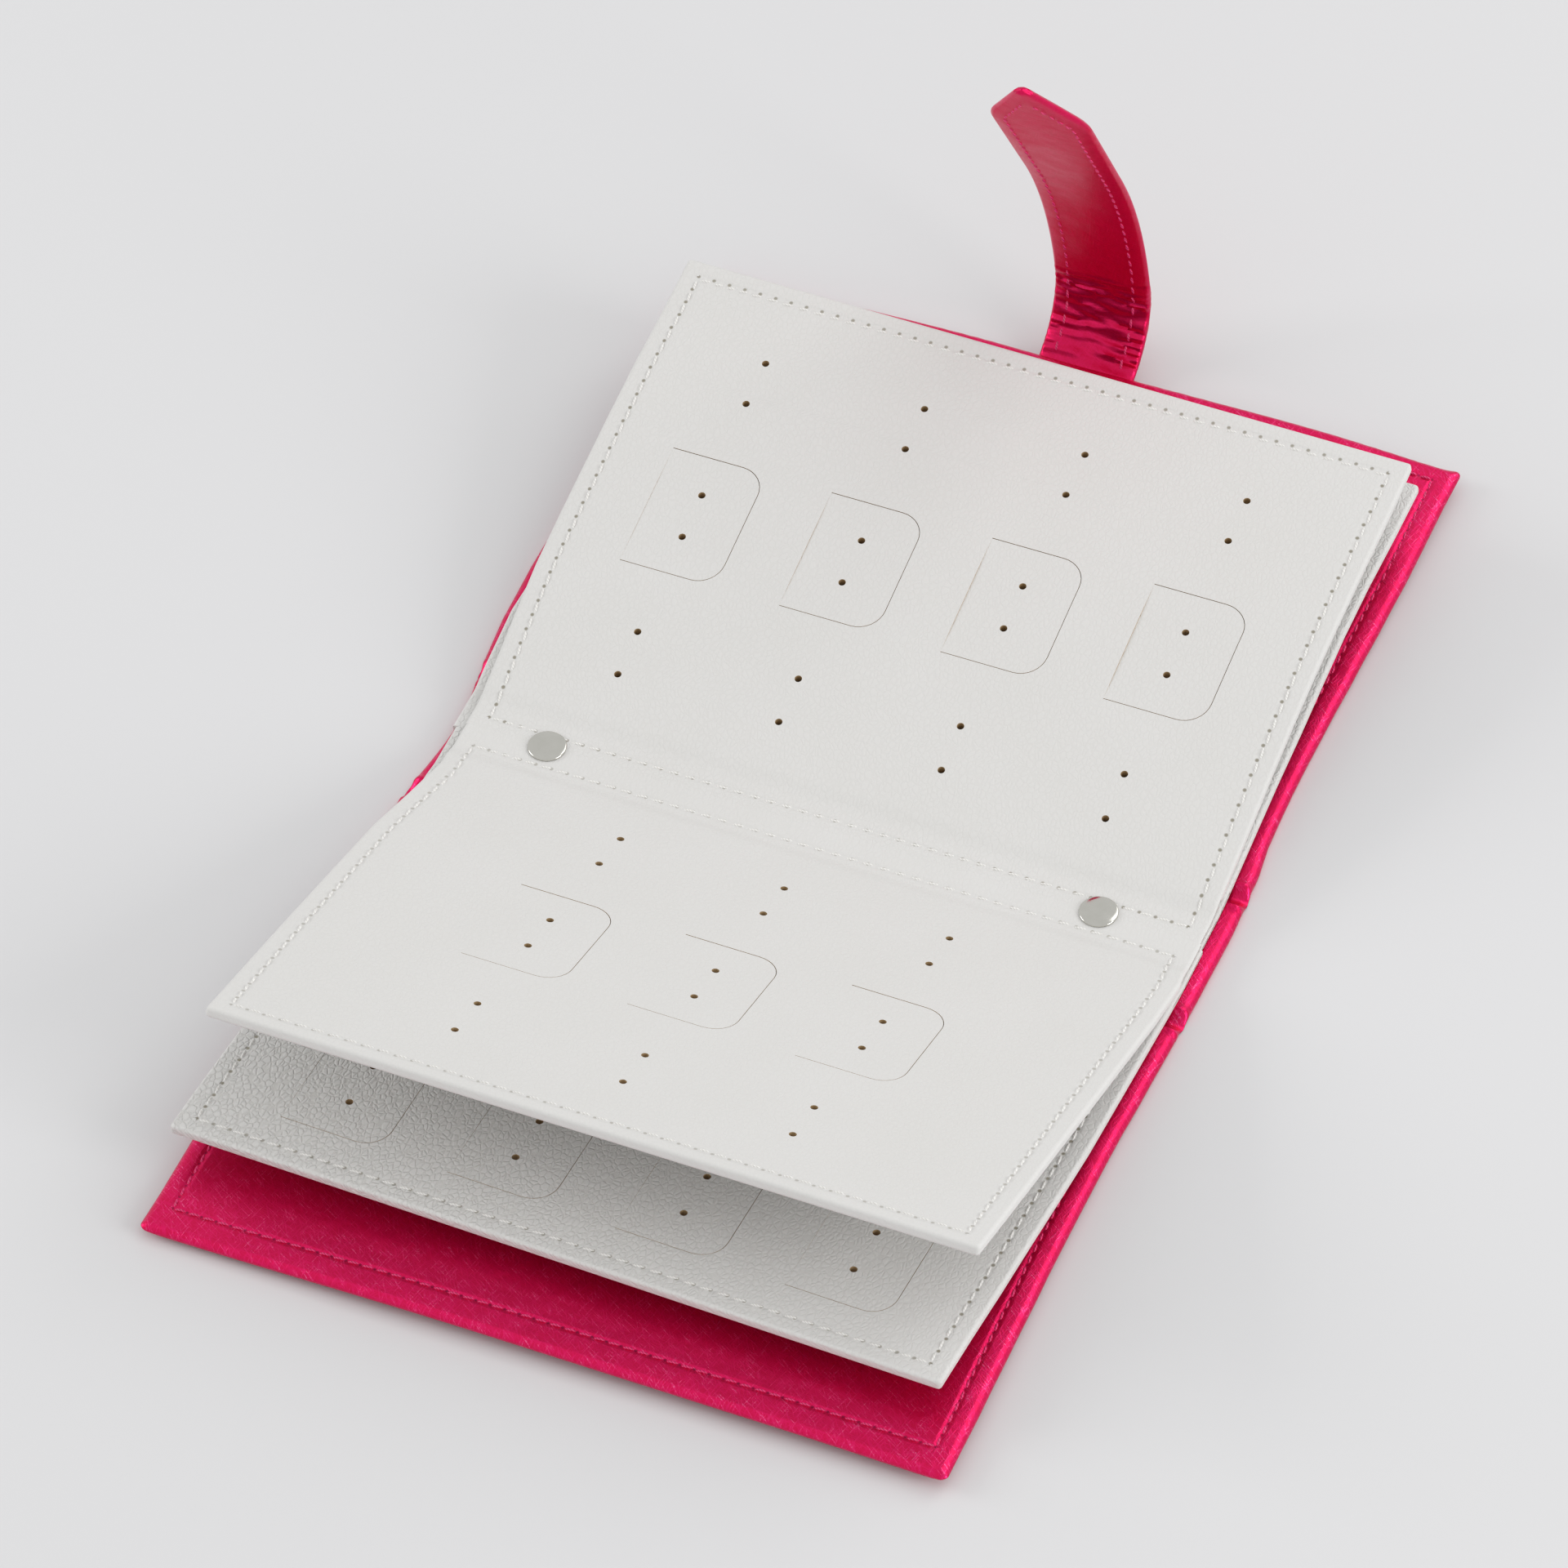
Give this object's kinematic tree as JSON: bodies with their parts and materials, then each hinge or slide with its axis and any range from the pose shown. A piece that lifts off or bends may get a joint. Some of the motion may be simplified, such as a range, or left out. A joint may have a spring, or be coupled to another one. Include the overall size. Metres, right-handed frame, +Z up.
{
  "type": "earring book",
  "caption": "Book-shaped case that opens flat and holds stud earrings on pierced, flapped pages bound in the gutter; a strap closes it.",
  "frame": {"origin": "middle of the spine's underside, on the surface the open book lies on", "axes": "+Y from the spine across the back cover to the strap, +X along the spine, +Z up out of the open pages"},
  "size_m": [0.2, 0.3507, 0.1316],
  "materials": {
    "foil_leather": "metallic foil, brushed",
    "lining_leather": "metallic foil, brushed",
    "case_board": "raw grey board",
    "page_core": "raw tan board",
    "page_leather": "matt, fine pebble grain",
    "cap_metal": "mirror",
    "post_metal": "satin"
  },
  "bodies": {
    "back_cover": {"back_skin": "foil_leather", "back_board": "case_board", "back_lining": "lining_leather", "strap_tab": "foil_leather", "strap_root": "foil_leather"},
    "spine": {"spine_skin": "foil_leather", "spine_board": "case_board", "spine_lining": "lining_leather", "sheet1_strip_back": "page_leather", "sheet1_strip_core": "page_core", "sheet1_strip_face": "page_leather", "sheet2_strip_back": "page_leather", "sheet2_strip_core": "page_core", "sheet2_strip_face": "page_leather", "post_barrel_1": "post_metal", "post_barrel_2": "post_metal", "post_cap_1": "cap_metal", "post_cap_2": "cap_metal"},
    "front_cover": {"front_skin": "foil_leather", "front_board": "case_board", "front_lining": "lining_leather", "front_magnet": "post_metal"},
    "lower1_page": {"lower1_band": "page_leather", "lower1_face": "page_leather", "lower1_core": "page_core", "lower1_back": "page_leather"},
    "upper1_page": {"upper1_band": "page_leather", "upper1_face": "page_leather", "upper1_core": "page_core", "upper1_back": "page_leather"},
    "upper2_page": {"upper2_band": "page_leather", "upper2_face": "page_leather", "upper2_core": "page_core", "upper2_back": "page_leather"},
    "lower2_page": {"lower2_band": "page_leather", "lower2_face": "page_leather", "lower2_core": "page_core", "lower2_back": "page_leather"},
    "upper1_flap_1": {"upper1_flap_1": "page_leather"},
    "upper1_flap_2": {"upper1_flap_2": "page_leather"},
    "upper1_flap_3": {"upper1_flap_3": "page_leather"},
    "upper1_flap_4": {"upper1_flap_4": "page_leather"},
    "lower1_flap_1": {"lower1_flap_1": "page_leather"},
    "lower1_flap_2": {"lower1_flap_2": "page_leather"},
    "lower1_flap_3": {"lower1_flap_3": "page_leather"},
    "lower2_flap_1": {"lower2_flap_1": "page_leather"},
    "lower2_flap_2": {"lower2_flap_2": "page_leather"},
    "lower2_flap_3": {"lower2_flap_3": "page_leather"},
    "lower2_flap_4": {"lower2_flap_4": "page_leather"},
    "strap_lower": {"strap_lower_outer": "foil_leather", "strap_lower_inner": "foil_leather"},
    "strap_upper": {"strap_upper_outer": "foil_leather", "strap_upper_core": "case_board", "strap_upper_inner": "foil_leather", "strap_magnet": "post_metal"}
  },
  "joints": [
    {"name": "back_crease", "type": "hinge", "parent": "spine", "child": "back_cover", "pos_m": [0, 0.02075, 0.0014], "axis": [1, 0, 0], "range_deg": [0, 85]},
    {"name": "front_crease", "type": "hinge", "parent": "spine", "child": "front_cover", "pos_m": [0, -0.02075, 0.0014], "axis": [-1, 0, 0], "range_deg": [0, 95.5]},
    {"name": "lower1_fold", "type": "hinge", "parent": "spine", "child": "lower1_page", "pos_m": [0, -0.007, 0.0071], "axis": [-1, 0, 0], "range_deg": [0, 78.3]},
    {"name": "lower2_fold", "type": "hinge", "parent": "spine", "child": "lower2_page", "pos_m": [0, -0.012, 0.0049], "axis": [-1, 0, 0], "range_deg": [0, 91.5]},
    {"name": "upper1_fold", "type": "hinge", "parent": "spine", "child": "upper1_page", "pos_m": [0, 0.007, 0.0071], "axis": [1, 0, 0], "range_deg": [0, 74]},
    {"name": "upper2_fold", "type": "hinge", "parent": "spine", "child": "upper2_page", "pos_m": [0, 0.012, 0.0049], "axis": [1, 0, 0], "range_deg": [0, 79]},
    {"name": "upper1_flap_1_lift", "type": "hinge", "parent": "upper1_page", "child": "upper1_flap_1", "pos_m": [-0.0778, 0.07087, 0.02071], "axis": [0, 0.9799, 0.1994], "range_deg": [-35, 0]},
    {"name": "upper1_flap_2_lift", "type": "hinge", "parent": "upper1_page", "child": "upper1_flap_2", "pos_m": [-0.0356, 0.07087, 0.02071], "axis": [0, 0.9799, 0.1994], "range_deg": [-35, 0]},
    {"name": "upper1_flap_3_lift", "type": "hinge", "parent": "upper1_page", "child": "upper1_flap_3", "pos_m": [0.0066, 0.07087, 0.02071], "axis": [0, 0.9799, 0.1994], "range_deg": [-35, 0]},
    {"name": "upper1_flap_4_lift", "type": "hinge", "parent": "upper1_page", "child": "upper1_flap_4", "pos_m": [0.0488, 0.07087, 0.02071], "axis": [0, 0.9799, 0.1994], "range_deg": [-35, 0]},
    {"name": "lower1_flap_1_lift", "type": "hinge", "parent": "lower1_page", "child": "lower1_flap_1", "pos_m": [-0.0567, -0.0692, 0.02698], "axis": [0, 0.9553, -0.2957], "range_deg": [-35, 0]},
    {"name": "lower1_flap_2_lift", "type": "hinge", "parent": "lower1_page", "child": "lower1_flap_2", "pos_m": [-0.0145, -0.0692, 0.02698], "axis": [0, 0.9553, -0.2957], "range_deg": [-35, 0]},
    {"name": "lower1_flap_3_lift", "type": "hinge", "parent": "lower1_page", "child": "lower1_flap_3", "pos_m": [0.0277, -0.0692, 0.02698], "axis": [0, 0.9553, -0.2957], "range_deg": [-35, 0]},
    {"name": "lower2_flap_1_lift", "type": "hinge", "parent": "lower2_page", "child": "lower2_flap_1", "pos_m": [-0.0778, -0.118, 0.01291], "axis": [0, 0.9976, -0.0698], "range_deg": [-35, 0]},
    {"name": "lower2_flap_2_lift", "type": "hinge", "parent": "lower2_page", "child": "lower2_flap_2", "pos_m": [-0.0356, -0.118, 0.01291], "axis": [0, 0.9976, -0.0698], "range_deg": [-35, 0]},
    {"name": "lower2_flap_3_lift", "type": "hinge", "parent": "lower2_page", "child": "lower2_flap_3", "pos_m": [0.0066, -0.118, 0.01291], "axis": [0, 0.9976, -0.0698], "range_deg": [-35, 0]},
    {"name": "lower2_flap_4_lift", "type": "hinge", "parent": "lower2_page", "child": "lower2_flap_4", "pos_m": [0.0488, -0.118, 0.01291], "axis": [0, 0.9976, -0.0698], "range_deg": [-35, 0]},
    {"name": "strap_swing", "type": "hinge", "parent": "back_cover", "child": "strap_lower", "pos_m": [0, 0.17374, 0.00376], "axis": [1, 0, 0], "range_deg": [-18, 3]},
    {"name": "strap_bend", "type": "hinge", "parent": "strap_lower", "child": "strap_upper", "pos_m": [0, 0.17151, 0.04698], "axis": [1, 0, 0], "range_deg": [-25, 57]}
  ],
  "couplings": [
    {"joint": "front_crease", "follows": "back_crease", "ratio": 1.1177},
    {"joint": "lower1_fold", "follows": "back_crease", "ratio": 0.91529},
    {"joint": "lower2_fold", "follows": "back_crease", "ratio": 1.0706},
    {"joint": "upper1_fold", "follows": "back_crease", "ratio": 0.86471},
    {"joint": "upper2_fold", "follows": "back_crease", "ratio": 0.92353}
  ]
}
